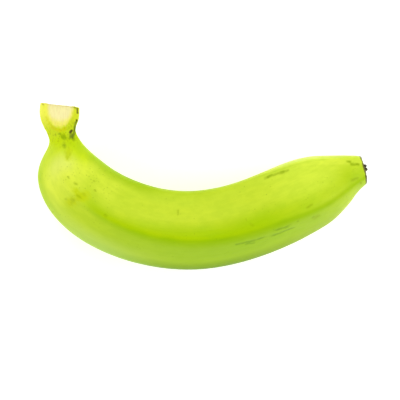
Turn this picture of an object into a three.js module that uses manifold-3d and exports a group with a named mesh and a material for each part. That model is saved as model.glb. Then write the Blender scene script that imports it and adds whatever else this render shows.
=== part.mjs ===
// A green plantain as picked, lying on its side. It grew as one piece: the curved, blunt-ridged fruit,
// its neck, the flared stub of the stalk that was cut from the bunch, and at the other end the corky
// scar with the dried remains of the flower.
// Millimetres, +Z up. +X runs from the stalk to the tip and +Y is the hollow side of the curve.
// The origin is under the middle of the whole fruit, on the surface that it lies on.

import * as THREE from 'three';
import { mergeVertices } from 'three/addons/utils/BufferGeometryUtils.js';
import Module from 'manifold-3d';

const wasm = await Module();
wasm.setup();

// The centreline seen from above, from just past the cut in the stalk to the flower scar.
const SPINE = [
  [-86, 53.5],
  [-85.6, 44.5],
  [-84.6, 35],
  [-82.5, 24.8],
  [-78.3, 12.8],
  [-69.9, 0],
  [-57.9, -10.8],
  [-41.1, -19.8],
  [-22.5, -24.8],
  [-1.5, -26],
  [22.5, -22.1],
  [43.5, -14.6],
  [61.5, -5.8],
  [78.3, 2.5],
  [87.7, 6.8],
  [96, 9.2],
];

// The fruit's girth at stations along the centreline. "at" is the distance from its start, "outer" and
// "inner" the reach to the bulging and to the hollow side, "low" and "high" the heights of the underside
// and the top. "ridge" is how far the section goes from round (0) to five blunt ridges (1), and "turn"
// is how many degrees the ridges have wound towards the hollow side.
// The underside dips just below zero at three stations, and lying flat there is what holds it still.
const GIRTHS = [
  { at: 0, outer: 10.2, inner: 12.4, low: 16.4, high: 35.8, ridge: 0.3, turn: 14 }, // stub, past the cut
  { at: 10, outer: 12.1, inner: 12.2, low: 16.6, high: 35.0, ridge: 0.35, turn: 14 }, // flared stub
  { at: 16, outer: 11.1, inner: 11.1, low: 17.4, high: 33.2, ridge: 0.45, turn: 14 },
  { at: 22, outer: 9.1, inner: 8.8, low: 17.8, high: 31.4, ridge: 0.5, turn: 13 }, // neck
  { at: 26, outer: 9.4, inner: 9.2, low: 16.6, high: 31.4, ridge: 0.5, turn: 13 },
  { at: 31, outer: 13.9, inner: 10.7, low: 12.4, high: 34.0, ridge: 0.42, turn: 12 },
  { at: 37, outer: 19.7, inner: 13.1, low: 8.2, high: 37.8, ridge: 0.38, turn: 12 }, // shoulder
  { at: 46, outer: 24.4, inner: 16.1, low: 3.4, high: 41.0, ridge: 0.42, turn: 11 },
  { at: 60, outer: 26.4, inner: 19.0, low: -0.2, high: 43.6, ridge: 0.6, turn: 9 }, // first rest
  { at: 80, outer: 25.6, inner: 21.7, low: 0.9, high: 45.3, ridge: 0.85, turn: 6 },
  { at: 105, outer: 24.4, inner: 23.0, low: 0.8, high: 45.8, ridge: 1, turn: 2 },
  { at: 130, outer: 23.9, inner: 23.8, low: -0.2, high: 45.4, ridge: 1, turn: -1 }, // belly, second rest
  { at: 160, outer: 22.7, inner: 24.5, low: 0.8, high: 45.6, ridge: 1, turn: -4 },
  { at: 180, outer: 22.3, inner: 24.6, low: 0.7, high: 44.6, ridge: 1, turn: -6 },
  { at: 198, outer: 21.9, inner: 23.5, low: -0.2, high: 42.2, ridge: 0.9, turn: -9 }, // third rest
  { at: 208, outer: 20.6, inner: 21.7, low: 1.6, high: 39.9, ridge: 0.8, turn: -10 },
  { at: 218, outer: 17.1, inner: 18.2, low: 5.6, high: 36.8, ridge: 0.68, turn: -11 },
  { at: 228, outer: 12.7, inner: 13.1, low: 10.4, high: 33.8, ridge: 0.55, turn: -11 },
  { at: 236.8, outer: 8.3, inner: 9.9, low: 15.0, high: 31.6, ridge: 0.45, turn: -11 }, // rim of the scar
];

// The five sides of the section between its ridges: which way each faces, in degrees from straight up
// towards the hollow side, and its share of the girth. A lower sharpness rounds the ridges more.
const SIDES = [
  { facing: 24, reach: 0.97 },
  { facing: 96, reach: 1 },
  { facing: 164, reach: 1 },
  { facing: 236, reach: 1 },
  { facing: 306, reach: 0.99 },
];
const RIDGE_SHARPNESS = 9;

// The flower scar, as rings past the rim: distance on along the centreline and share of the rim's girth.
const SCAR_RINGS = [
  { past: 0.55, share: 0.955 },
  { past: 0.75, share: 0.885 },
  { past: 0.45, share: 0.82 },
  { past: 0.7, share: 0.7 },
  { past: 1.2, share: 0.48 },
  { past: 1.4, share: 0.24 },
];
const SCAR_PEAK = 1.4;

// The dried flower's remains on the scar: shrunken knobs, off its centre towards the hollow side and up.
const KNOBS = [
  { inner: 1.9, up: 0.6, past: 1.4, radius: 1.35 },
  { inner: -0.1, up: -0.5, past: 1.6, radius: 1.3 },
  { inner: 0.6, up: -2.6, past: 1.0, radius: 1.1 },
];
const KNOB_LENGTHENING = 1.25;

// The cut across the stalk, square to it but for a small slant, and the flat scar down its upper side
// where it tore from the next fruit.
const STALK_CUT = { x: -84.9, y: 48.9, slant: -6.3 };
const TEAR = { height: 31.8, fromY: 31.5, dropPerMm: 0.03 };

// How finely the surface is divided.
const RING_STEPS = [
  { until: 48, step: 1.9 },
  { until: 200, step: 3.6 },
  { until: 236.8, step: 1.9 },
];
const SIDES_ROUND = 44;
const CUTTER = 80; // a block larger than what it cuts

const radians = THREE.MathUtils.degToRad;

// A smooth curve through the points (xs, ys), straight at both ends: gives y and its slope at x.
function smoothCurve(xs, ys) {
  const last = xs.length - 1;
  const bend = new Array(xs.length).fill(0);
  const carried = new Array(xs.length).fill(0);
  for (let i = 1; i < last; i++) {
    const span = xs[i + 1] - xs[i - 1];
    const share = (xs[i] - xs[i - 1]) / span;
    const pivot = share * bend[i - 1] + 2;
    const rise = (ys[i + 1] - ys[i]) / (xs[i + 1] - xs[i]) - (ys[i] - ys[i - 1]) / (xs[i] - xs[i - 1]);
    bend[i] = (share - 1) / pivot;
    carried[i] = ((6 * rise) / span - share * carried[i - 1]) / pivot;
  }
  for (let i = last - 1; i > 0; i--) bend[i] = bend[i] * bend[i + 1] + carried[i];

  return (x) => {
    let i = 0;
    while (i < last - 1 && x > xs[i + 1]) i++;
    const h = xs[i + 1] - xs[i];
    const a = (xs[i + 1] - x) / h;
    const b = (x - xs[i]) / h;
    const y = a * ys[i] + b * ys[i + 1] + (((a ** 3 - a) * bend[i] + (b ** 3 - b) * bend[i + 1]) * h * h) / 6;
    const slope = (ys[i + 1] - ys[i]) / h
      + (((1 - 3 * a * a) * bend[i] + (3 * b * b - 1) * bend[i + 1]) * h) / 6;
    return { y, slope };
  };
}

// The centreline as two curves over the distance from its start.
const spineAt = [0];
for (let i = 1; i < SPINE.length; i++) {
  const [x, y] = SPINE[i];
  const [x0, y0] = SPINE[i - 1];
  spineAt.push(spineAt[i - 1] + Math.hypot(x - x0, y - y0));
}
const spineX = smoothCurve(spineAt, SPINE.map((p) => p[0]));
const spineY = smoothCurve(spineAt, SPINE.map((p) => p[1]));

const stations = GIRTHS.map((g) => g.at);
const girth = {};
for (const name of ['outer', 'inner', 'low', 'high', 'ridge', 'turn']) {
  girth[name] = smoothCurve(stations, GIRTHS.map((g) => g[name]));
}

// The section's outline before it is sized: [towards the hollow side, up], round with blunt ridges.
function outline(ridge, turn) {
  const points = [];
  for (let j = 0; j < SIDES_ROUND; j++) {
    const angle = (2 * Math.PI * j) / SIDES_ROUND;
    let sum = 0;
    for (const side of SIDES) {
      const facing = Math.max(0, Math.cos(angle - radians(side.facing + turn)));
      sum += (facing / side.reach) ** RIDGE_SHARPNESS;
    }
    const radius = 1 + ridge * (sum ** (-1 / RIDGE_SHARPNESS) - 1);
    points.push([radius * Math.sin(angle), radius * Math.cos(angle)]);
  }
  return points;
}

// Stretches values so that they run exactly from low to high.
function stretched(values, low, high) {
  const least = Math.min(...values);
  const most = Math.max(...values);
  return values.map((v) => low + ((v - least) * (high - low)) / (most - least));
}

// One section of the fruit: its middle, its two directions and its ring of points.
function sectionAt(at) {
  const x = spineX(at);
  const y = spineY(at);
  const along = new THREE.Vector3(x.slope, y.slope, 0).normalize();
  const inward = new THREE.Vector3(-along.y, along.x, 0);
  const size = {};
  for (const name in girth) size[name] = girth[name](at).y;

  const round = outline(size.ridge, size.turn);
  const across = stretched(round.map((p) => p[0]), -size.outer, size.inner);
  const heights = stretched(round.map((p) => p[1]), size.low, size.high);
  const start = new THREE.Vector3(x.y, y.y, 0);
  const ring = across.map((a, j) => start.clone().addScaledVector(inward, a).setZ(heights[j]));
  const middle = start.addScaledVector(inward, (size.inner - size.outer) / 2).setZ((size.low + size.high) / 2);
  return { ring, middle, along, inward };
}

// The distances along the centreline at which the sections stand.
function sectionPlaces() {
  const places = [];
  let at = 0;
  for (const { until, step } of RING_STEPS) {
    const count = Math.round((until - at) / step);
    for (let i = 0; i < count; i++) places.push(at + ((until - at) * i) / count);
    at = until;
  }
  return [...places, at];
}

// The whole fruit's skin as one closed surface, from the stub's flat end to the peak of the scar.
function fruitSkin() {
  const sections = sectionPlaces().map(sectionAt);
  const rings = sections.map((s) => s.ring);
  const { ring: rim, middle, along } = sections.at(-1);
  for (const { past, share } of SCAR_RINGS) {
    rings.push(rim.map((p) => middle.clone().lerp(p, share).addScaledVector(along, past)));
  }
  const peak = middle.clone().addScaledVector(along, SCAR_PEAK);

  const points = [...rings.flat(), sections[0].middle, peak];
  const startPoint = points.length - 2;
  const peakPoint = points.length - 1;
  const corners = [];
  for (let j = 0; j < SIDES_ROUND; j++) {
    const next = (j + 1) % SIDES_ROUND;
    const lastRing = (rings.length - 1) * SIDES_ROUND;
    corners.push(startPoint, j, next, peakPoint, lastRing + next, lastRing + j);
    for (let i = 0; i < rings.length - 1; i++) {
      const here = i * SIDES_ROUND;
      const there = here + SIDES_ROUND;
      corners.push(here + j, there + next, here + next, here + j, there + j, there + next);
    }
  }
  const skin = new THREE.BufferGeometry().setFromPoints(points);
  skin.setIndex(corners);
  return skin;
}

// The shrunken knobs of the dried flower, each a small rough lump sunk into the scar.
function flowerKnobs() {
  const tip = sectionAt(stations.at(-1));
  return KNOBS.map(({ inner, up, past, radius }) => {
    const knob = new THREE.IcosahedronGeometry(radius, 1);
    knob.scale(KNOB_LENGTHENING, 1, 1);
    knob.rotateZ(Math.atan2(tip.along.y, tip.along.x));
    const place = tip.middle.clone().addScaledVector(tip.inward, inner).addScaledVector(tip.along, past);
    knob.translate(place.x, place.y, place.z + up);
    return knob;
  });
}

// A block that takes off what lies past the cut in the stalk.
function stalkCutter() {
  const block = new THREE.BoxGeometry(CUTTER, CUTTER, CUTTER);
  block.translate(0, CUTTER / 2, 0);
  block.rotateZ(radians(STALK_CUT.slant));
  block.translate(STALK_CUT.x, STALK_CUT.y, TEAR.height);
  return block;
}

// A block that shaves the stub's upper side flat.
function tearCutter() {
  const block = new THREE.BoxGeometry(CUTTER, CUTTER, CUTTER);
  block.translate(0, CUTTER / 2, CUTTER / 2);
  block.rotateX(-Math.atan(TEAR.dropPerMm));
  block.translate(STALK_CUT.x, TEAR.fromY, TEAR.height);
  return block;
}

// The surface that the fruit lies on, which flattens it a little at the three places where it rests.
function surfaceCutter(skin) {
  skin.computeBoundingBox();
  const size = skin.boundingBox.getSize(new THREE.Vector3());
  const block = new THREE.BoxGeometry(2 * size.x, 2 * size.y, CUTTER);
  return block.translate(0, 0, -CUTTER / 2);
}

// A closed surface as a solid.
function solid(geometry) {
  const bare = geometry.clone();
  bare.deleteAttribute('normal');
  bare.deleteAttribute('uv');
  const merged = mergeVertices(bare);
  return new wasm.Manifold(new wasm.Mesh({
    numProp: 3,
    vertProperties: merged.attributes.position.array,
    triVerts: new Uint32Array(merged.index.array),
  }));
}

function geometryOf(made) {
  const mesh = made.getMesh();
  const geometry = new THREE.BufferGeometry();
  geometry.setAttribute('position', new THREE.BufferAttribute(new Float32Array(mesh.vertProperties), 3));
  geometry.setIndex(new THREE.BufferAttribute(new Uint32Array(mesh.triVerts), 1));
  geometry.computeVertexNormals();
  return geometry;
}

function plantain() {
  const skin = fruitSkin();
  let fruit = solid(skin);
  for (const knob of flowerKnobs()) fruit = fruit.add(solid(knob));
  for (const cutter of [stalkCutter(), tearCutter(), surfaceCutter(skin)]) {
    fruit = fruit.subtract(solid(cutter));
  }
  const geometry = geometryOf(fruit);
  geometry.computeBoundingBox();
  const centre = geometry.boundingBox.getCenter(new THREE.Vector3());
  geometry.translate(-centre.x, -centre.y, 0);

  const peel = new THREE.MeshStandardMaterial({ color: 0xb9da2e, roughness: 0.45, metalness: 0 });
  const mesh = new THREE.Mesh(geometry, peel);
  mesh.name = 'plantain';
  return mesh;
}

const part = new THREE.Group();
part.add(plantain());

export default part;
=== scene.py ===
# The looks of a green plantain that lies on its side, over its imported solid. The same form is lofted
# again as a fine mesh, and gets its colours and what is too fine for the solid: faint swells and lines
# in the peel, folds and bumps at the neck, puckers at the tip, small marks and creases, the fibres of
# the torn stalk and the corky flower scar's cracks.
# Shapes are worked out in millimetres and turned into metres when a mesh is made. +X runs from the
# stalk to the tip, +Y is the hollow side of the curve, +Z is up and the fruit lies on z = 0.

import math
from types import SimpleNamespace

import bmesh
import bpy
import numpy as np
from mathutils import Matrix, Vector, noise


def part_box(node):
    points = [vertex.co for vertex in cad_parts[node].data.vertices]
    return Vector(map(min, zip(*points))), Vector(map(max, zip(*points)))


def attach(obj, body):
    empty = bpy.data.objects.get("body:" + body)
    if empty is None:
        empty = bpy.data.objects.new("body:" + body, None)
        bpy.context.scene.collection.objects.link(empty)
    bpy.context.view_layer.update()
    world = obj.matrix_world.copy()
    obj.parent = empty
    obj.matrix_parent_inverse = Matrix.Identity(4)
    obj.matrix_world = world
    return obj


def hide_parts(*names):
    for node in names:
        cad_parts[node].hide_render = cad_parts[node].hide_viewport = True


MM = 0.001

# The photographed frame: the camera looks straight down on its middle.
VIEW_MIDDLE = (-1.8, -8.1, 22)
VIEW_WIDTH = 240
LENS = 100
SENSOR = 36
CAMERA_HEIGHT = VIEW_WIDTH * LENS / SENSOR

# The soft lamps: where each stands and how wide it is, in metres, and its power in watts.
LAMPS = [
    ("key", (-0.2, 0.95, 0.75), 1.0, 4.5),
    ("left", (-0.95, -0.3, 0.7), 0.9, 5.5),
    ("right", (0.95, 0.1, 0.7), 0.9, 6.5),
    ("near", (0.1, -0.95, 0.7), 0.9, 1),
]

# How bright the tent is at heights from the horizon, 0, to straight above, 1.
TENT = [(0, 0.35), (0.25, 0.55), (0.72, 0.55), (0.95, 0.1)]

# The floor's reach to each side and its gap below the fruit's flats, both in metres, and its glow.
FLOOR_REACH = 1.5
FLOOR_GAP = 0.0001
FLOOR_GLOW = 0.45

# The centreline seen from above, from just past the cut in the stalk to the flower scar. It has the
# solid's own numbers, so it still lacks the shift that brings the middle of the fruit to the origin.
SPINE = [
    (-86, 53.5),
    (-85.6, 44.5),
    (-84.6, 35),
    (-82.5, 24.8),
    (-78.3, 12.8),
    (-69.9, 0),
    (-57.9, -10.8),
    (-41.1, -19.8),
    (-22.5, -24.8),
    (-1.5, -26),
    (22.5, -22.1),
    (43.5, -14.6),
    (61.5, -5.8),
    (78.3, 2.5),
    (87.7, 6.8),
    (96, 9.2),
]

# The girth at stations along the centreline: the distance from its start, the reach to the outer and
# to the hollow side, the heights of the underside and the top, how far the section goes from round to
# five-ridged, and the degrees that the ridges have wound towards the hollow side.
GIRTH_NAMES = ("at", "outer", "inner", "low", "high", "ridge", "turn")
GIRTHS = [
    (0, 10.2, 12.4, 16.4, 35.8, 0.3, 14),
    (10, 12.1, 12.2, 16.6, 35.0, 0.35, 14),
    (16, 11.1, 11.1, 17.4, 33.2, 0.45, 14),
    (22, 9.1, 8.8, 17.8, 31.4, 0.5, 13),
    (26, 9.4, 9.2, 16.6, 31.4, 0.5, 13),
    (31, 13.9, 10.7, 12.4, 34.0, 0.42, 12),
    (37, 19.7, 13.1, 8.2, 37.8, 0.38, 12),
    (46, 24.4, 16.1, 3.4, 41.0, 0.42, 11),
    (60, 26.4, 19.0, -0.2, 43.6, 0.6, 9),
    (80, 25.6, 21.7, 0.9, 45.3, 0.85, 6),
    (105, 24.4, 23.0, 0.8, 45.8, 1, 2),
    (130, 23.9, 23.8, -0.2, 45.4, 1, -1),
    (160, 22.7, 24.5, 0.8, 45.6, 1, -4),
    (180, 22.3, 24.6, 0.7, 44.6, 1, -6),
    (198, 21.9, 23.5, -0.2, 42.2, 0.9, -9),
    (208, 20.6, 21.7, 1.6, 39.9, 0.8, -10),
    (218, 17.1, 18.2, 5.6, 36.8, 0.68, -11),
    (228, 12.7, 13.1, 10.4, 33.8, 0.55, -11),
    (236.8, 8.3, 9.9, 15.0, 31.6, 0.45, -11),
]
END = GIRTHS[-1][0]

# The section's five sides: which way each faces, in degrees from straight up towards the hollow side,
# and its share of the girth. The ridges lie halfway between them.
SIDES = [(24, 0.97), (96, 1), (164, 1), (236, 1), (306, 0.99)]
RIDGE_SHARPNESS = 9

# Two of the ridges, each by the number of the side before it: the main one on top, and the next one
# towards the hollow side.
MAIN_RIDGE = 4
UPPER_RIDGE = 0

# The cut across the stalk: its place, how far it is turned from facing +Y, and roughly its radius.
CUT_PLACE = (-84.9, 48.9, 0)
CUT_SLANT = math.radians(-6.3)
CUT_FACING = np.array([-math.sin(CUT_SLANT), math.cos(CUT_SLANT), 0])
CUT_RADIUS = 11

# The flat scar down the stub's upper side, where it tore from the next fruit.
TEAR = SimpleNamespace(height=31.8, from_y=31.5, drop=0.03, rounding=0.22)

# What is given for the height above the tear where there is none: well below it.
OFF_TEAR = -5

# The tear laid the flesh bare in a U-shaped patch that opens at the cut.
FLESH_PATCH = SimpleNamespace(x=-85.8, y=49.2, half_width=8.8, length=14.2, squareness=2.1)

# The flower scar: its share of the rim's girth against the distance on past the rim.
SCAR_PROFILE = [
    (1, 0),
    (0.955, 0.55),
    (0.885, 0.75),
    (0.82, 0.45),
    (0.7, 0.7),
    (0.48, 1.2),
    (0.24, 1.4),
    (0, 1.4),
]

# The dried flower's knobs on the scar: place towards the hollow side, up and past the rim, and radius.
KNOBS = [(1.9, 0.6, 1.4, 1.35), (-0.1, -0.5, 1.6, 1.3), (0.6, -2.6, 1.0, 1.1)]
KNOB_LENGTHENING = 1.25

# Marks on the upper side of the peel, as paths in plan as the camera sees them, with their half
# width and strength. Sap that dried and wounds that corked over are brown.
BROWN_MARKS = [
    ([(-96.2, 49.7), (-96.0, 49.3)], 0.6, 0.5),
    ([(-78.8, 48.0), (-75.6, 47.4)], 0.6, 0.4),
    ([(-75.3, 47.2), (-74.9, 44.2)], 0.7, 0.55),
    ([(-75.6, 39.9), (-75.2, 39.2)], 0.45, 0.7),
    ([(-79.5, 32.6), (-78.6, 33.3)], 0.6, 1.0),
]
# A dark olive strip down the side of the neck, sunk a little into the peel.
NECK_STRIP_MARKS = [
    ([(-75.6, 38.0), (-76.3, 35.0), (-77.2, 32.0), (-78.6, 29.6)], 0.9, 0.85),
    ([(-79.4, 32.4), (-79.8, 29.0)], 0.8, 0.6),
]
# Rubs are ochre.
OCHRE_MARKS = [
    ([(-79.6, -9.6), (-74.6, -6.6), (-70.6, -5.4)], 2.4, 0.7),
    ([(-76.5, -2.5), (-73.6, -6.0)], 1.6, 0.6),
    ([(-80.6, 21.4), (-81.2, 17.6)], 1.7, 0.7),
]
# Where the peel tore, its edge has dried to mustard.
TORN_EDGES = [
    ([(-94.0, 41.4), (-93.2, 39.4), (-91.4, 36.2)], 0.6, 0.7),
    ([(-90.6, 35.4), (-86.6, 33.5), (-82.6, 34.6)], 0.9, 0.9),
]
# Bruises and scratches darken the green.
GREEN_MARKS = [
    ([(-86.0, 31.6), (-85.8, 31.4)], 0.6, 0.6),
    ([(-84.2, 30.2), (-83.0, 29.4)], 1.0, 0.7),
    ([(-83.6, 26.7), (-83.4, 26.3)], 0.6, 0.4),
    ([(-83.4, 25.0), (-83.1, 24.0)], 0.8, 0.6),
    ([(-77.6, 28.7), (-77.4, 28.4)], 0.8, 0.7),
    ([(-82.7, 21.5), (-81.4, 17.0)], 0.5, 0.2),
    ([(-78.6, 21.5), (-81.2, 17.0)], 0.5, 0.2),
    ([(-81.0, 5.9), (-80.6, 5.2)], 0.5, 0.45),
    ([(-76.9, 2.2), (-75.9, 1.3)], 0.7, 0.35),
    ([(-82.6, -7.4), (-82.2, -7.9)], 0.5, 0.4),
    ([(-78.8, -7.8), (-77.8, -8.4)], 0.9, 0.32),
    ([(-78.9, -9.8), (-78.9, -10.8)], 0.8, 0.25),
    ([(-75.2, -5.6), (-73.9, -6.6)], 0.9, 0.34),
    ([(-71.8, -4.4), (-70.9, -5.2)], 0.8, 0.25),
    ([(-65.5, 3.4), (-65.2, 3.1)], 0.4, 0.5),
    ([(-64.9, -2.0), (-64.6, -2.4)], 0.4, 0.5),
    ([(-58.9, -17.0), (-58.0, -17.6)], 0.6, 0.5),
    ([(-15.0, -14.1), (-15.0, -16.8)], 0.5, 0.35),
    ([(37.2, 5.0), (41.0, 6.5), (45.0, 7.8), (51.0, 9.7)], 0.6, 0.45),
    ([(38.8, 5.7), (41.4, 6.8)], 0.6, 0.65),
    ([(46.8, 8.4), (48.4, 8.9)], 0.7, 0.65),
    ([(25.5, -19.3), (26.1, -20.1)], 0.4, 0.4),
    ([(28.8, -22.5), (30.0, -23.7)], 0.7, 0.35),
    ([(62.4, -12.8), (65.4, -10.8)], 0.6, 0.4),
    ([(66.6, -19.2), (69.6, -17.4)], 0.8, 0.35),
    ([(86.6, 15.2), (88.4, 15.0)], 0.6, 0.5),
    ([(89.0, 13.6), (93.4, 13.3)], 0.7, 0.5),
    ([(89.4, 4.0), (92.6, 5.0)], 0.7, 0.45),
    ([(94.9, 2.3), (95.0, 1.6)], 0.4, 0.5),
]
# Faint creases in the peel just below the main ridge.
CREASES = [
    [(19.6, -35.1), (29.0, -33.0), (44.1, -29.0), (54.0, -25.0), (66.6, -18.3)],
    [(41.4, -27.0), (49.8, -24.6), (57.0, -21.0)],
    [(25.8, -34.8), (31.2, -33.9)],
]

# How finely the skin is divided: points round it, rows up to the stub's end, rows along the body as
# (until, spacing), and rows across the cut and the scar. All are read from rings a fine step apart.
COLUMNS = 184
STUB_END = 30
STUB_ROWS = 70
ROW_STEPS = [(48, 0.5), (200, 0.8), (END, 0.45)]
CAP_ROWS = 30
SCAR_ROWS = 26
FINE_STEP = 0.2
ANGLES = 2 * np.pi * np.arange(COLUMNS) / COLUMNS


def smooth_curve(xs, ys):
    """A smooth curve through the points, straight at both ends: x gives y and its slope."""
    xs = np.array(xs, float)
    ys = np.array(ys, float)
    gaps = np.diff(xs)
    slopes = np.diff(ys) / gaps
    count = len(xs)
    system = np.eye(count)
    turns = np.zeros(count)
    for i in range(1, count - 1):
        system[i, i - 1 : i + 2] = gaps[i - 1], 2 * (gaps[i - 1] + gaps[i]), gaps[i]
        turns[i] = 6 * (slopes[i] - slopes[i - 1])
    bends = np.linalg.solve(system, turns)

    def curve(x):
        i = np.clip(np.searchsorted(xs, x, side="right") - 1, 0, count - 2)
        h = gaps[i]
        a = (xs[i + 1] - x) / h
        b = (x - xs[i]) / h
        y = a * ys[i] + b * ys[i + 1] + ((a**3 - a) * bends[i] + (b**3 - b) * bends[i + 1]) * h**2 / 6
        slope = slopes[i] + ((1 - 3 * a**2) * bends[i] + (3 * b**2 - 1) * bends[i + 1]) * h / 6
        return y, slope

    return curve


SPINE_AT = np.cumsum([0] + [math.dist(a, b) for a, b in zip(SPINE, SPINE[1:])])
spine_x = smooth_curve(SPINE_AT, [p[0] for p in SPINE])
spine_y = smooth_curve(SPINE_AT, [p[1] for p in SPINE])
girth = {}
for k, name in enumerate(GIRTH_NAMES[1:], start=1):
    girth[name] = smooth_curve([g[0] for g in GIRTHS], [g[k] for g in GIRTHS])


def lerp(a, b, share):
    return a + (b - a) * share


def rise(value, low, high):
    """0 below low and 1 above high, and smooth between."""
    t = np.clip((value - low) / (high - low), 0, 1)
    return t * t * (3 - 2 * t)


def bell(value, middle, width):
    return np.exp(-(((value - middle) / width) ** 2))


def unit(vectors):
    return vectors / np.linalg.norm(vectors, axis=-1, keepdims=True)


def noise_at(points, size, seed):
    """Smooth noise from about -1 to 1, over a length of size: one number, or one for each axis. Each
    seed reads another part of the noise."""
    moved = points / np.array(size, float) + np.array([17.3, 5.1, 9.7]) * seed
    flat = [noise.noise(p) for p in moved.reshape(-1, 3).tolist()]
    return np.array(flat).reshape(points.shape[:-1])


def stretched(values, low, high):
    """Each row of values, stretched so that it runs exactly from low to high."""
    least = values.min(axis=1, keepdims=True)
    most = values.max(axis=1, keepdims=True)
    return low[:, None] + (values - least) * (high - low)[:, None] / (most - least)


def directions(at):
    """The directions along the centreline and towards its hollow side, at distances along it."""
    dx = spine_x(at)[1]
    dy = spine_y(at)[1]
    flat = np.zeros_like(dx)
    along = unit(np.stack([dx, dy, flat], axis=-1))
    inward = np.stack([-along[..., 1], along[..., 0], flat], axis=-1)
    return along, inward


def bare_rings(at):
    """The rings of the fruit's form, five numbers a point: where it is, and its place across and up in
    its own section, from the section's middle."""
    size = {name: curve(at)[0] for name, curve in girth.items()}
    turned = ANGLES[None, :] - np.radians(size["turn"])[:, None]
    total = 0
    for facing, reach in SIDES:
        total = total + (np.maximum(0, np.cos(turned - math.radians(facing))) / reach) ** RIDGE_SHARPNESS
    radius = 1 + size["ridge"][:, None] * (total ** (-1 / RIDGE_SHARPNESS) - 1)
    across = stretched(radius * np.sin(ANGLES), -size["outer"], size["inner"])
    height = stretched(radius * np.cos(ANGLES), size["low"], size["high"])
    inward = directions(at)[1]
    x = spine_x(at)[0][:, None] + inward[:, None, 0] * across
    y = spine_y(at)[0][:, None] + inward[:, None, 1] * across
    middle_across = (size["inner"] - size["outer"]) / 2
    middle_height = (size["low"] + size["high"]) / 2
    from_middle = [across - middle_across[:, None], height - middle_height[:, None]]
    return np.stack([x, y, height, *from_middle], axis=-1)


def cut_distances(fine):
    """For each column of the fine rings, how far along the fruit it crosses the stalk's cut."""
    past_cut = (fine[: round(STUB_END / FINE_STEP), :, :3] - np.array(CUT_PLACE)) @ CUT_FACING
    last = (past_cut > 0).sum(axis=0) - 1
    column = np.arange(COLUMNS)
    before = past_cut[last, column]
    after = past_cut[last + 1, column]
    return (last + before / (before - after)) * FINE_STEP


def row_distances(cut_at):
    """How far along the fruit each point of each row is. The first row follows the stalk's cut."""
    rows = [lerp(cut_at, STUB_END, i / STUB_ROWS) for i in range(STUB_ROWS)]
    start = STUB_END
    for until, spacing in ROW_STEPS:
        count = round((until - start) / spacing)
        rows += [np.full(COLUMNS, lerp(start, until, i / count)) for i in range(count)]
        start = until
    return np.array(rows + [np.full(COLUMNS, END)])


def read_rows(fine, at):
    """The fine rings' numbers at distances along the fruit, which may differ from column to column."""
    just_inside = len(fine) - 1.001
    where = np.clip(at / FINE_STEP, 0, just_inside)
    row = where.astype(int)
    share = (where - row)[..., None]
    column = np.arange(COLUMNS)[None, :]
    return lerp(fine[row, column], fine[row + 1, column], share)


def tear_off(points):
    """Shaves the stub's upper side flat. Gives the points, and how far each one lay above the tear."""
    height = points[..., 2]
    tear = TEAR.height - TEAR.drop * (points[..., 1] - TEAR.from_y)
    shaved = -TEAR.rounding * np.logaddexp(-height / TEAR.rounding, -tear / TEAR.rounding)
    on_stub = rise(points[..., 1], TEAR.from_y - 1, TEAR.from_y + 1)
    made = points.copy()
    made[..., 2] = lerp(height, shaved, on_stub)
    return made, lerp(OFF_TEAR, height - tear, on_stub)


def from_ridge(side, rows):
    """How far each point is, round the section, from the ridge that comes after a side: more than 0 is
    past it, as seen going from the top to the hollow side."""
    facing = SIDES[side][0]
    next_facing = SIDES[(side + 1) % len(SIDES)][0]
    ridge = math.radians(facing + (next_facing - facing) % 360 / 2)
    apart = ANGLES[None, :] - np.radians(girth["turn"](rows.at)[0]) - ridge
    return ((apart + np.pi) % (2 * np.pi) - np.pi) * np.hypot(rows.across, rows.up)


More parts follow.
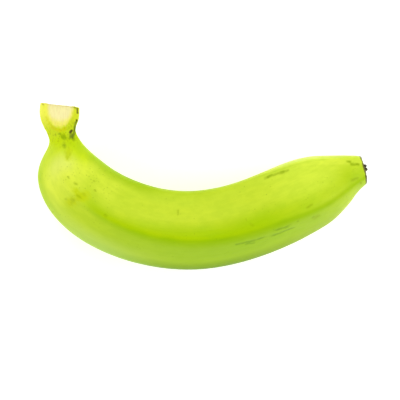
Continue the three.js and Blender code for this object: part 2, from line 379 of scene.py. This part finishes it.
def skin_rows():
    """The fruit's skin as rows of points, from the middle of the stalk's cut to the middle of the scar,
    with what places each point: its distance along the fruit, its place in the cut or the scar, its
    height above the tear, its place in the fruit made straight (at, across and up), and how far it is
    past two ridges and from the outline on the bulging and on the hollow side."""
    fine = bare_rings(np.arange(0, END + FINE_STEP, FINE_STEP).clip(0, END))
    at = row_distances(cut_distances(fine))
    body = read_rows(fine, at)
    points, above_tear = tear_off(body[..., :3])

    # Rings fill the cut, and close over the scar by its profile.
    cap = 1 - (np.arange(CAP_ROWS) + 0.5) / CAP_ROWS
    scar = (np.arange(SCAR_ROWS) + 0.5) / SCAR_ROWS
    first, last = points[0], points[-1]
    scar_middle = (last.min(axis=0) + last.max(axis=0)) / 2
    profile = smooth_curve([1 - p[0] for p in SCAR_PROFILE], [p[1] for p in SCAR_PROFILE])
    past = profile(scar)[0][:, None, None] * directions(np.array([END]))[0]
    cap_points = lerp(first, first.mean(axis=0), cap[:, None, None])
    scar_points = lerp(last, scar_middle, scar[:, None, None]) + past

    def filled(before, body_values, after):
        """A number for each point, from one for each cap row, the body's, and one for each scar row."""
        ones = np.ones((1, COLUMNS))
        return np.concatenate([before[:, None] * ones, body_values, after[:, None] * ones])

    def held(values):
        """The body's numbers, its first row's also over the cap and its last row's over the scar."""
        over_cap = np.repeat(values[:1], CAP_ROWS, axis=0)
        over_scar = np.repeat(values[-1:], SCAR_ROWS, axis=0)
        return np.concatenate([over_cap, values, over_scar])

    rows = SimpleNamespace()
    rows.points = np.concatenate([cap_points, points, scar_points])
    rows.at = held(at)
    rows.cap = filled(cap, np.zeros(at.shape), 0 * scar)
    rows.scar = filled(0 * cap, np.zeros(at.shape), scar)
    rows.above_tear = filled(0 * cap + OFF_TEAR, above_tear, 0 * scar + OFF_TEAR)
    left = (1 - rows.cap - rows.scar)[..., None]
    rows.straight = np.concatenate([rows.at[..., None], held(body)[..., 3:] * left], axis=-1)
    rows.across = rows.straight[..., 1]
    rows.up = rows.straight[..., 2]
    rows.past_main = from_ridge(MAIN_RIDGE, rows)
    rows.past_upper = from_ridge(UPPER_RIDGE, rows)
    rows.from_bulge = rows.across - rows.across.min(axis=1, keepdims=True)
    rows.from_hollow = rows.across.max(axis=1, keepdims=True) - rows.across
    return rows


def normals(points):
    """The outward normals of a grid of points that closes round each row."""
    by_row = np.gradient(points, axis=0)
    by_column = np.roll(points, -1, axis=1) - np.roll(points, 1, axis=1)
    return unit(np.cross(by_row, by_column))


def plan_distance(points, path):
    """How far each point is from a path, seen from above."""
    nearest = np.full(points.shape[:-1], np.inf)
    for a, b in zip(path, path[1:]):
        a = np.array(a, float)
        leg = np.array(b, float) - a
        share = np.clip((points[..., :2] - a) @ leg / (leg @ leg), 0, 1)
        gap = points[..., :2] - a - share[..., None] * leg
        nearest = np.minimum(nearest, np.linalg.norm(gap, axis=-1))
    return nearest


def as_seen(points):
    """Where the camera sees points in plan: it looks straight down, and what is higher looks further
    out."""
    middle = np.array(VIEW_MIDDLE)
    from_camera = CAMERA_HEIGHT + middle[2] - points[..., 2:]
    return middle[:2] + (points[..., :2] - middle[:2]) * CAMERA_HEIGHT / from_camera


def marked(rows, marks):
    """How strong a list of marks is at each point of the skin: 0 well off them."""
    found = np.zeros(rows.at.shape)
    seen = as_seen(rows.points)
    for path, half_width, strength in marks:
        gap = plan_distance(seen, path)
        found = np.maximum(found, strength * np.clip(1 - gap / (2.2 * half_width), 0, 1))
    return found * rise(rows.up, -4, 0)


def ridge_lines(rows):
    """How strongly the green darkens along the main ridge, unevenly, and faintly along the upper one."""
    width = 1 + 0.35 * noise_at(rows.straight, 14, 14)
    strength = 0.75 + 0.3 * noise_at(rows.straight, (12, 30, 30), 15)
    strength *= rise(rows.at, 75, 120) * (1 - 0.8 * rise(rows.at, 170, 205))
    upper_strength = 0.4 * rise(rows.at, 160, 180) * (1 - rise(rows.at, 205, 225))
    main = strength * bell(rows.past_main, 0, width)
    return np.clip(main + upper_strength * bell(rows.past_upper, 0, 0.9), 0, 1)


def in_flesh_patch(rows):
    """How far inside the tear's patch of bare flesh each point is: 0 on its ragged edge."""
    seen = as_seen(rows.points)
    x = (seen[..., 0] - FLESH_PATCH.x) / FLESH_PATCH.half_width
    y = (seen[..., 1] - FLESH_PATCH.y) / FLESH_PATCH.length
    ragged = 0.07 * noise_at(rows.points, (1.2, 3, 3), 11) + 0.04 * noise_at(rows.points, (0.5, 1, 1), 12)
    k = FLESH_PATCH.squareness
    return 1 - (np.abs(x) ** k + np.abs(y) ** k) ** (1 / k) + ragged


def skin_masks(rows):
    """What the peel's material reads at each point, as numbers from 0 to 1."""
    inside = in_flesh_patch(rows)
    torn = rise(rows.above_tear, -0.9, -0.3) * rise(inside, -0.05, 0.16)
    # The cut's face takes the tear on from its rim.
    torn[:CAP_ROWS] = torn[CAP_ROWS]
    into_flesh = rise(inside, -0.05, 0.42) * lerp(0.1, 1, rise(rows.points[..., 1], 34.5, 43))
    uneven = 0.45 * noise_at(rows.points, 2.2, 16)
    scar = rise(rows.scar, 0.0, 0.09)
    masks = {
        "cut": np.maximum(torn, rise(rows.cap, 0.1, 0.16)),
        "flesh_depth": np.maximum(into_flesh, rise(rows.cap, 0.12, 0.5)),
        "scar": scar,
        "corky": np.maximum(rise(rows.at + uneven, END - 0.8, END - 0.3), scar),
    }
    return masks | stub_masks(rows) | body_masks(rows) | mark_masks(rows)


def stub_masks(rows):
    """Where the stub and the neck are yellower, where a painted highlight lies on the stub's bulging side,
    and where small specks crowd: at the neck and on the shoulder."""
    neck = bell(rows.at, 22, 8)
    lit = rise(-rows.across, -5, 6) * rise(rows.from_bulge, -0.8, 1.8)
    shoulder = bell(rows.at, 60, 17) * rise(rows.past_main, -6, 0)
    return {
        "stub": 1 - rise(rows.at, 12, 27),
        # A painted highlight on the bulging side of the stub.
        "stub_highlight": (1 - rise(rows.at, 8, 20)) * lit,
        "neck": neck,
        "below_neck": bell(past_neck(rows), 31, 7),
        "speckled": 0.5 * np.maximum(neck, shoulder),
    }


def body_masks(rows):
    """Where the body's green changes: a painted highlight on the shoulder, painted sheen low on the bulging
    side, paler at the far end, duller below the main ridge, partly in its own colour and partly as painted
    shade, and painted shade along the outline of the belly and of the hollow side past the shoulder."""
    far = 0.45 * rise(rows.past_main, -1, 2) + 0.55 * rise(rows.past_main, 3, 10)
    far *= rise(rows.at, 165, 208) * (1 - 0.6 * bell(rows.at, 226, 7))
    # Below the main ridge the green is duller, partly in its own colour and partly as painted shade.
    below = rise(-rows.past_main, -1, 3) * rise(rows.at, 60, 95)
    # Painted shade along the outline of the bulging side, on the belly.
    belly = 1 - 0.65 * rise(rows.from_bulge, 1, 6) - 0.35 * rise(rows.from_bulge, 0, 2)
    belly *= rise(rows.at, 85, 125) * (1 - 0.6 * rise(rows.at, 150, 200))
    past_shoulder = rise(rows.at, 28, 46) * (1 - rise(rows.at, 88, 115))
    off_outline = rise(rows.from_bulge, 5, 14) * rise(rows.from_hollow, 5, 16)
    return {
        "ridge": ridge_lines(rows),
        # A pale cast, partly waxy bloom and partly painted sheen, with a painted highlight on the shoulder.
        "bloom_and_sheen": bloom_and_sheen(rows),
        "far": far,
        "below": below * (1 - 0.5 * rise(rows.at, 200, 225)),
        "belly": belly * (1 - rise(rows.at, 205, 225)),
        # Painted shade along the outline of the hollow side, past the shoulder.
        "hollow": (1 - rise(rows.from_hollow, 1, 8)) * past_shoulder,
        # A painted highlight on the shoulder.
        "shoulder": bell(rows.at, 39, 6) * off_outline,
        # Painted sheen low on the bulging side.
        "low_side_sheen": (1 - rise(rows.from_bulge, 2, 13)) * bell(rows.at, 80, 24),
    }


def mark_masks(rows):
    """The small marks, and the creases, which are broken up."""
    seen = as_seen(rows.points)
    creases = np.max([bell(plan_distance(seen, path), 0, 0.7) for path in CREASES], axis=0)
    whole = 0.35 + 0.65 * rise(noise_at(rows.straight, (6, 3, 3), 17), -0.3, 0.3)
    return {
        "brown": marked(rows, BROWN_MARKS),
        "ochre": marked(rows, OCHRE_MARKS),
        "green": marked(rows, GREEN_MARKS),
        "neck_strip": marked(rows, NECK_STRIP_MARKS),
        "torn_edge": marked(rows, TORN_EDGES),
        "crease": creases * whole * rise(rows.up, -8, -2),
    }


def past_neck(rows):
    """How far along each point is, less on the hollow side, where the neck's colour runs on further."""
    return rows.at - lerp(-6, 9, rise(rows.across, -10, 14))


def bloom_and_sheen(rows):
    """The peel's pale cast, partly a waxy bloom and partly painted sheen, with a painted highlight on the
    shoulder: thick there and between the ridges, and left out along the main ridge, most of all on its
    upper side, and at the neck."""
    above = rows.past_main

    # On the upper side of the main ridge it is bare at first. Below the ridge it begins at once.
    bare_to = np.interp(rows.at, [80, 120, 200], [0, 3, 5])
    whole_from = np.interp(rows.at, [80, 120, 200], [7, 12, 15])
    lower = 0.7 * rise(-above, 0, 4) + 0.3 * rise(-above, 10, 20)
    lower *= np.interp(rows.at, [70, 120, 150, 200, 225], [0.62, 0.33, 0.26, 0.42, 0.7])
    made = np.where(above > 0, 0.51 * rise(above, bare_to, whole_from), 0.94 * lower)

    # Thick on the shoulder, where it is a painted highlight, and some way on past it, but thinner at its
    # outline on the bulging side.
    past_shoulder = 0.7 * rise(above, 1, 10) * (1 - rise(rows.at, 70, 94))
    made = np.maximum(made, np.maximum(bell(rows.at, 46, 17), past_shoulder))
    made *= 1 - 0.6 * (1 - rise(rows.from_bulge, 2, 8)) * bell(rows.at, 44, 13)

    # Thinner towards the sides of the near half, and whole past the upper ridge at the far end.
    round_section = above / (np.hypot(rows.across, rows.up) + 0.1)
    at_sides = 0.75 * rise(round_section, 0.9, 1.6) + 0.65 * rise(-round_section, 0.75, 1.15)
    made *= 1 - at_sides * (1 - rise(rows.at, 130, 180))
    beyond = rows.past_upper + lerp(0, 4.5, rise(rows.at, 185, 220))
    made = np.maximum(made, 0.9 * rise(beyond, -0.5, 1) * rise(rows.at, 165, 190))
    return made * rise(past_neck(rows), 24, 36) * (1 - 0.4 * rise(rows.at, 220, 234))


def peel_relief(rows, masks):
    """How far the peel stands proud of its form, in millimetres. It is never above zero."""
    peel = (1 - masks["cut"]) * (1 - masks["scar"])
    neck = bell(rows.at, 19, 8)
    tip = rise(rows.at, 222, 235)
    swells = 0.16 * (noise_at(rows.straight, (34, 15, 15), 1) - 1)
    lines = 0.015 * (noise_at(rows.straight, (55, 1.6, 1.6), 2) - 1)
    neck_folds = 0.2 * neck * (noise_at(rows.straight, (9, 1.9, 1.9), 3) - 1)
    neck_bumps = 0.16 * neck * (noise_at(rows.straight, 1.7, 4) - 1)
    tip_puckers = 0.17 * tip * (noise_at(rows.straight, (6, 2.2, 2.2), 5) - 1)
    marks = 0.25 * masks["brown"] + 0.14 * masks["green"] + 0.3 * masks["neck_strip"] + 0.1 * masks["crease"]
    return peel * (swells + lines + neck_folds + neck_bumps + tip_puckers - marks)


def tear_relief(rows, masks):
    """The fibres and the shallow dish of the torn and cut flesh."""
    flesh = masks["cut"]
    fibres = 0.2 * (noise_at(rows.points, (0.55, 6, 0.55), 6) - 1)
    ridges = 0.3 * (noise_at(rows.points, (1.9, 9, 1.9), 7) - 1)
    torn_dish = 0.6 * rise(in_flesh_patch(rows), 0.02, 0.4) * rise(from_rim(rows), 0, 4)
    cut_dish = 0.4 * rise(rows.cap, 0.14, 0.4)
    return flesh * (fibres + ridges - torn_dish - cut_dish)


def ring(radius):
    """A circle of points, one for each column, to read noise round the fruit from."""
    return np.stack([np.cos(ANGLES), np.sin(ANGLES), np.zeros(COLUMNS)], axis=-1) * radius


def scar_relief(rows, masks):
    """The corky scar's cracks, which run out from its middle, and its crumbs."""
    cracks = 0.35 * (noise_at(ring(2.2), 0.6, 8) - 1)
    crumbs = 0.22 * (noise_at(rows.points, 0.8, 9) - 1)
    return masks["scar"] * (cracks[None, :] * (1 - rows.scar) + crumbs)


def from_rim(rows):
    """How far each point is from the rim of the stalk's cut."""
    return np.maximum(rows.at - rows.at[:1], CUT_RADIUS * rows.cap)


def notched(rows):
    """Moves the stub's rim back from the cut by a little, more here and less there."""
    depth = 0.3 * (1 + noise_at(ring(4), 1.1, 10)) + 0.2 * (1 + noise_at(ring(4), 0.35, 13))
    return -(depth[None, :] * bell(from_rim(rows), 0, 1.4))[..., None] * CUT_FACING


def closed_faces(row_count):
    """Faces of a grid of rows that closes round each row, with a point added at each end."""
    faces = []
    first_pole = row_count * COLUMNS
    last_row = (row_count - 1) * COLUMNS
    for j in range(COLUMNS):
        n = (j + 1) % COLUMNS
        faces.append((first_pole, j, n))
        faces.append((first_pole + 1, last_row + n, last_row + j))
        for i in range(row_count - 1):
            here = i * COLUMNS
            there = here + COLUMNS
            faces.append((here + j, there + j, there + n, here + n))
    return faces


def add_piece(name, points, faces, material):
    """A mesh of points in millimetres as a piece of the object."""
    mesh = bpy.data.meshes.new(name)
    mesh.from_pydata((np.array(points) * MM).tolist(), [], faces)
    mesh.update()
    mesh.shade_smooth()
    piece = bpy.data.objects.new(name, mesh)
    bpy.context.scene.collection.objects.link(piece)
    mesh.materials.append(material)
    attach(piece, "root")
    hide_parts("plantain")
    return piece


def add_numbers(mesh, name, values):
    made = mesh.attributes.new(name, "FLOAT", "POINT")
    made.data.foreach_set("value", values.astype(np.float32))


def add_vectors(mesh, name, values):
    made = mesh.attributes.new(name, "FLOAT_VECTOR", "POINT")
    made.data.foreach_set("vector", values.astype(np.float32).ravel())


def with_poles(values):
    """A grid's values as one list, with the two end points' values after them."""
    ends = [values[0].mean(axis=0, keepdims=True), values[-1].mean(axis=0, keepdims=True)]
    return np.concatenate([values.reshape(-1, *values.shape[2:]), *ends])


class Nodes:
    """The nodes of one procedural material, added from what they read to what they give."""

    def __init__(self, name):
        self.material = bpy.data.materials.new(name)
        self.material.use_nodes = True
        self.tree = self.material.node_tree
        self.shader = self.tree.nodes["Principled BSDF"]

    def add(self, kind, inputs=(), **settings):
        made = self.tree.nodes.new(kind)
        for key, value in settings.items():
            setattr(made, key, value)
        for key, value in dict(inputs).items():
            self.put(value, made.inputs[key])
        return made

    def put(self, value, socket):
        if isinstance(value, bpy.types.NodeSocket):
            self.tree.links.new(value, socket)
        else:
            socket.default_value = value

    def set(self, **inputs):
        for key, value in inputs.items():
            self.put(value, self.shader.inputs[key.replace("_", " ")])

    def number(self, name):
        return self.add("ShaderNodeAttribute", attribute_name=name).outputs["Fac"]

    def vector(self, name):
        return self.add("ShaderNodeAttribute", attribute_name=name).outputs["Vector"]

    def scaled(self, vector, scale):
        inputs = {0: vector, 1: tuple(scale)}
        return self.add("ShaderNodeVectorMath", inputs, operation="MULTIPLY").outputs[0]

    def where(self):
        """The piece's own coordinates, in millimetres."""
        metres = self.add("ShaderNodeTexCoord").outputs["Object"]
        return self.scaled(metres, (1 / MM, 1 / MM, 1 / MM))

    def noise(self, vector, size, detail=2.0, roughness=0.5):
        """Noise from 0 to 1, over a length of size: one number, or one for each axis."""
        scaled = self.scaled(vector, [1 / s for s in np.broadcast_to(size, 3)])
        inputs = {"Vector": scaled, "Scale": 1.0, "Detail": detail, "Roughness": roughness}
        return self.add("ShaderNodeTexNoise", inputs).outputs["Fac"]

    def ragged(self, field, place, low, high):
        """A mark with uneven edges, from a field that fades away from it."""
        broken = self.ramp(self.noise(place, (2.6, 1.3, 1.3), 4, 0.6), 0.25, 0.75, 0.55, 1.3)
        return self.ramp(self.math("MULTIPLY", field, broken), low, high)

    def math(self, operation, a, b=0.0):
        return self.add("ShaderNodeMath", {0: a, 1: b}, operation=operation).outputs[0]

    def ramp(self, value, low, high, to_low=0.0, to_high=1.0):
        inputs = {"Value": value, "From Min": low, "From Max": high, "To Min": to_low, "To Max": to_high}
        return self.add("ShaderNodeMapRange", inputs, interpolation_type="SMOOTHSTEP").outputs["Result"]

    def mix(self, a, b, share):
        inputs = {0: share, 6: colour(a), 7: colour(b)}
        return self.add("ShaderNodeMix", inputs, data_type="RGBA").outputs[2]

    def tinted(self, base, tint, field, share):
        """The base, mixed towards a tint by a share of the field."""
        return self.mix(base, tint, self.math("MULTIPLY", field, share))

    def blend(self, a, b, share):
        return self.add("ShaderNodeMix", {0: share, 2: a, 3: b}, data_type="FLOAT").outputs[0]

    def bump(self, height, distance):
        inputs = {"Height": height, "Distance": distance * MM, "Strength": 1.0}
        self.set(Normal=self.add("ShaderNodeBump", inputs).outputs[0])


def linear(value):
    value = value / 255
    return value / 12.92 if value <= 0.04045 else ((value + 0.055) / 1.055) ** 2.4


def colour(value):
    """A colour socket as it is, or three screen values from 0 to 255 as a linear colour."""
    if isinstance(value, bpy.types.NodeSocket):
        return value
    return (*[linear(v) for v in value], 1.0)


# Colours as screen values: first the body's greens.
LIME = (172, 208, 3)
YELLOW_LIME = (188, 213, 3)
FAR_LIME = (222, 244, 70)
# The duller green below the main ridge, partly its own colour and partly painted shade.
LOWER_GREEN_AND_SHADE = (150, 196, 6)
DEEP_GREEN = (146, 190, 2)
# Painted shade along the hollow side's outline.
HOLLOW_EDGE_SHADE = (158, 196, 0)
# Painted shade along the belly's outline.
BELLY_EDGE_SHADE = (120, 156, 26)
# The pale cast, partly the peel's waxy bloom and partly painted sheen and painted highlight.
BLOOM_AND_SHEEN = (225, 240, 68)
# A painted highlight on the shoulder.
SHOULDER_HIGHLIGHT = (242, 247, 132)
# Painted sheen low on the bulging side.
LOW_SIDE_SHEEN = (190, 222, 112)

# The neck and the stub.
BELOW_NECK = (212, 234, 4)
NECK_LIME = (198, 222, 0)
NECK_OLIVE = (166, 178, 0)
STUB_YELLOW = (226, 232, 44)
# A painted highlight on the stub's bulging side.
STUB_HIGHLIGHT = (255, 252, 96)

# Marks in the peel.
CREASE_GREEN = (108, 156, 0)
BRUISE_GREEN = (150, 178, 0)
SPECK = (112, 148, 0)
OCHRE = (196, 214, 0)
TORN_MUSTARD = (214, 204, 10)
NECK_STRIP_OLIVE = (96, 116, 16)
BROWN = (84, 78, 16)

# The bare flesh, the scar and the dried flower.
FLESH = (252, 243, 172)
FLESH_YELLOW = (246, 242, 98)
FLESH_PINK = (240, 216, 146)
CORK = (128, 126, 58)
DARK_CORK = (62, 54, 26)
DRIED = (34, 26, 14)

# The floor, and what faintly mottles it.
FLOOR = (240, 240, 240)
FLOOR_TINT = (246, 246, 246)


def peel_material():
    """The skin: green peel with its waxy bloom, its painted sheen, highlights and shade, and its marks,
    bare flesh and the scar's cork. The noise has its sizes in millimetres along, across and up the
    straightened fruit."""
    g = Nodes("peel")
    place = g.vector("straight")
    mottle = g.ramp(g.noise(place, (26, 11, 11), 3), 0.3, 0.7)
    patches = g.ramp(g.noise(place, (7, 4, 4), 3), 0.35, 0.65)
    streaks = g.ramp(g.noise(place, (38, 1.1, 1.1), 2), 0.3, 0.7)
    grain = g.noise(place, 0.45, 3)

    peel = g.tinted(LIME, YELLOW_LIME, mottle, 0.6)
    # Duller below the main ridge, partly in its own colour and partly as painted shade.
    peel = g.mix(peel, LOWER_GREEN_AND_SHADE, g.number("below"))
    # The pale cast, partly waxy bloom and partly painted sheen, with a painted highlight on the shoulder.
    peel = g.mix(peel, BLOOM_AND_SHEEN, g.number("bloom_and_sheen"))
    peel = g.tinted(peel, FAR_LIME, g.number("far"), 0.6)
    peel = g.tinted(peel, BELOW_NECK, g.number("below_neck"), 0.8)
    peel = g.tinted(peel, DEEP_GREEN, patches, 0.14)
    peel = g.tinted(peel, DEEP_GREEN, streaks, 0.06)
    peel = g.tinted(peel, DEEP_GREEN, g.number("ridge"), 0.75)
    peel = g.tinted(peel, CREASE_GREEN, g.ragged(g.number("crease"), place, 0.2, 0.9), 0.55)
    peel = g.tinted(peel, NECK_LIME, g.number("neck"), 0.8)
    peel = g.tinted(peel, STUB_YELLOW, g.number("stub"), 0.85)
    # A painted highlight on the stub's bulging side.
    peel = g.tinted(peel, STUB_HIGHLIGHT, g.number("stub_highlight"), 0.65)
    # A painted highlight on the shoulder.
    peel = g.tinted(peel, SHOULDER_HIGHLIGHT, g.number("shoulder"), 0.4)
    # Painted sheen low on the bulging side.
    peel = g.tinted(peel, LOW_SIDE_SHEEN, g.number("low_side_sheen"), 0.5)
    # Painted shade along the hollow side's outline.
    peel = g.tinted(peel, HOLLOW_EDGE_SHADE, g.number("hollow"), 0.75)
    # Painted shade along the belly's outline.
    peel = g.tinted(peel, BELLY_EDGE_SHADE, g.number("belly"), 0.8)

    # Blotches at the neck, and pin-point specks, thick at the neck and thin on the body.
    blotches = g.ramp(g.noise(place, (1.8, 1.1, 1.1), 3, 0.6), 0.5, 0.72)
    peel = g.tinted(peel, NECK_OLIVE, g.math("MULTIPLY", blotches, g.number("neck")), 0.75)
    specks = g.add("ShaderNodeTexVoronoi", {"Vector": g.scaled(place, (0.5, 0.5, 0.5)), "Scale": 1.0})
    speck = g.ramp(specks.outputs["Distance"], 0.08, 0.26, 1.0, 0.0)
    thin = g.ramp(g.noise(place, 9, 2), 0.52, 0.7, 0.05, 0.45)
    speck = g.math("MULTIPLY", speck, g.math("MAXIMUM", thin, g.number("speckled")))
    peel = g.tinted(peel, SPECK, speck, 0.8)

    # The marks: from which number a mark begins to show, from which it is whole, and how strong it is.
    marks = [
        ("ochre", OCHRE, 0.05, 0.6, 0.8),
        ("green", BRUISE_GREEN, 0.0, 0.55, 0.95),
        ("torn_edge", TORN_MUSTARD, 0.1, 0.8, 0.5),
        ("neck_strip", NECK_STRIP_OLIVE, 0.1, 0.8, 0.9),
    ]
    for name, tint, shows_from, whole_from, share in marks:
        field = g.ragged(g.number(name), place, shows_from, whole_from)
        peel = g.tinted(peel, tint, field, share)
    brown = g.ragged(g.number("brown"), place, 0.1, 0.7)
    peel = g.mix(peel, BROWN, brown)

    # The flesh of the torn and cut stalk: cream, yellower near the peel, with fibres along the stalk.
    fibres = g.noise(g.where(), (0.6, 7, 0.6), 3)
    flesh = g.mix(FLESH, FLESH_YELLOW, g.ramp(g.number("flesh_depth"), 0.0, 1.0, 1.0, 0.0))
    flesh = g.mix(flesh, FLESH_PINK, g.ramp(fibres, 0.45, 0.75, 0.0, 0.45))
    skin = g.mix(peel, flesh, g.number("cut"))
    skin = g.tinted(skin, BROWN, brown, 0.7)

    # The scar's cork, which begins a little short of the rim.
    crumbs = g.noise(place, 0.7, 4, 0.6)
    cork = g.mix(CORK, DARK_CORK, g.ramp(crumbs, 0.35, 0.65))
    skin = g.mix(skin, cork, g.number("corky"))

    dry = g.math("MAXIMUM", g.number("cut"), g.number("scar"))
    satin = g.ramp(g.noise(place, 3, 3), 0.3, 0.7, 0.33, 0.42)
    roughness = g.blend(satin, 0.8, dry)
    height = g.math("ADD", g.math("MULTIPLY", streaks, 0.35), g.math("MULTIPLY", grain, 0.65))
    height = g.blend(height, g.math("MULTIPLY", fibres, 6.0), g.number("cut"))
    g.bump(height, 0.06)
    g.set(Base_Color=skin, Roughness=roughness, Specular_IOR_Level=0.1, IOR=1.45)
    return g.material


def dried_material():
    """Near black, and browner in places."""
    g = Nodes("dried_flower")
    wrinkles = g.noise(g.where(), 0.5, 4, 0.6)
    worn = g.mix(DRIED, DARK_CORK, g.ramp(wrinkles, 0.4, 0.7))
    g.set(Base_Color=worn, Roughness=g.ramp(wrinkles, 0.3, 0.7, 0.6, 0.9))
    g.bump(wrinkles, 0.25)
    return g.material


def floor_material():
    """White with a faint glow, so that the ground is as plain as in the photograph."""
    g = Nodes("floor")
    g.set(Base_Color=g.mix(FLOOR, FLOOR_TINT, g.noise(g.where(), 400, 2)), Roughness=0.9)
    g.set(Emission_Color=(1, 1, 1, 1), Emission_Strength=FLOOR_GLOW)
    return g.material


def fruit(shift):
    """Adds the whole fruit as one closed skin."""
    rows = skin_rows()
    rows.points[..., :2] += shift
    masks = skin_masks(rows)
    outward = normals(rows.points)
    relief = peel_relief(rows, masks) + tear_relief(rows, masks) + scar_relief(rows, masks)
    points = rows.points + outward * relief[..., None] + notched(rows)
    points[..., 2] = np.maximum(points[..., 2], 0)

    piece = add_piece("fruit", with_poles(points), closed_faces(len(points)), peel_material())
    add_vectors(piece.data, "straight", with_poles(rows.straight))
    for name, values in masks.items():
        add_numbers(piece.data, name, with_poles(values))


def tip_frame(shift):
    """The middle of the scar's rim, and the directions along and towards the hollow side there."""
    last = bare_rings(np.array([END]))[0, :, :3]
    middle = (last.min(axis=0) + last.max(axis=0)) / 2
    middle[:2] += shift
    along, inward = directions(np.array([END]))
    return middle, along[0], inward[0]


def dried_flower(shift):
    """Adds the shrunken knobs on the scar, each a closed wrinkled lump sunk into it."""
    middle, along, inward = tip_frame(shift)
    turn = Matrix.Rotation(math.atan2(along[1], along[0]), 4, "Z")
    stretch = Matrix.Diagonal((KNOB_LENGTHENING, 1, 1, 1))
    lumps = bmesh.new()
    for k, (towards, up, past, radius) in enumerate(KNOBS):
        place = middle + inward * towards + along * past + np.array([0, 0, up])
        shape = Matrix.Translation(place) @ turn @ stretch
        made = bmesh.ops.create_icosphere(lumps, subdivisions=5, radius=radius, matrix=shape)
        for vertex in made["verts"]:
            out = vertex.co - Vector(place)
            wrinkle = 0.16 * (noise.noise(out * 1.1 + Vector((k * 7, 0, 0))) - 1)
            wrinkle += 0.07 * (noise.noise(out * 3.2) - 1)
            vertex.co += out * wrinkle
    points = [v.co[:] for v in lumps.verts]
    faces = [[v.index for v in f.verts] for f in lumps.faces]
    lumps.free()
    add_piece("dried_flower", points, faces, dried_material())


def plan_shift():
    """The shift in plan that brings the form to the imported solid's place, by the low sides of its box."""
    rings = bare_rings(np.arange(0, END, FINE_STEP))
    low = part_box("plantain")[0]
    return np.array([low.x / MM - rings[..., 0].min(), low.y / MM - rings[..., 1].min()])


def floor():
    corners = [(-1, -1), (1, -1), (1, 1), (-1, 1)]
    points = [(x * FLOOR_REACH, y * FLOOR_REACH, -FLOOR_GAP) for x, y in corners]
    mesh = bpy.data.meshes.new("floor")
    mesh.from_pydata(points, [], [(0, 1, 2, 3)])
    made = bpy.data.objects.new("floor", mesh)
    bpy.context.scene.collection.objects.link(made)
    mesh.materials.append(floor_material())


def area_light(name, place, size, watts):
    """A soft square light that faces the fruit."""
    lamp = bpy.data.lights.new(name, "AREA")
    lamp.size = size
    lamp.energy = watts
    made = bpy.data.objects.new(name, lamp)
    bpy.context.scene.collection.objects.link(made)
    made.location = place
    made.rotation_euler = (-Vector(place)).to_track_quat("-Z", "Y").to_euler()


def surroundings():
    """A white tent all round, darker straight above, where the camera looks in, and low down."""
    world = bpy.data.worlds.new("tent")
    world.use_nodes = True
    tree = world.node_tree
    look = tree.nodes.new("ShaderNodeTexCoord")
    split = tree.nodes.new("ShaderNodeSeparateXYZ")
    level = tree.nodes.new("ShaderNodeValToRGB")
    level.color_ramp.interpolation = "EASE"
    stops = level.color_ramp.elements
    stops[0].position, stops[1].position = TENT[0][0], TENT[-1][0]
    for place, _ in TENT[1:-1]:
        stops.new(place)
    for stop, (_, brightness) in zip(stops, TENT):
        stop.color = (brightness, brightness, brightness, 1)
    tree.links.new(look.outputs["Generated"], split.inputs[0])
    tree.links.new(split.outputs["Z"], level.inputs["Fac"])
    tree.links.new(level.outputs["Color"], tree.nodes["Background"].inputs["Color"])
    bpy.context.scene.world = world


def camera():
    """Looks straight down on the photographed frame, which it fills."""
    lens = bpy.data.cameras.new("camera")
    lens.lens = LENS
    lens.sensor_width = SENSOR
    made = bpy.data.objects.new("camera", lens)
    bpy.context.scene.collection.objects.link(made)
    made.location = Vector(VIEW_MIDDLE) * MM + Vector((0, 0, CAMERA_HEIGHT * MM))
    bpy.context.scene.camera = made


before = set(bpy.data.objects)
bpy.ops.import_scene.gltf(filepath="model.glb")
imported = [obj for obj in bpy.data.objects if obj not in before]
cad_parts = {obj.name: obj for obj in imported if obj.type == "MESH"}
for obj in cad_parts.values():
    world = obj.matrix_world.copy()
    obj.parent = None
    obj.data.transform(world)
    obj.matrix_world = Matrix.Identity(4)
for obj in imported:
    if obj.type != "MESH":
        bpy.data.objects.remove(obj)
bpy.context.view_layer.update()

shift = plan_shift()
fruit(shift)
dried_flower(shift)
floor()
surroundings()
for name, place, size, watts in LAMPS:
    area_light(name, place, size, watts)
camera()
bpy.context.scene.view_settings.view_transform = "Standard"
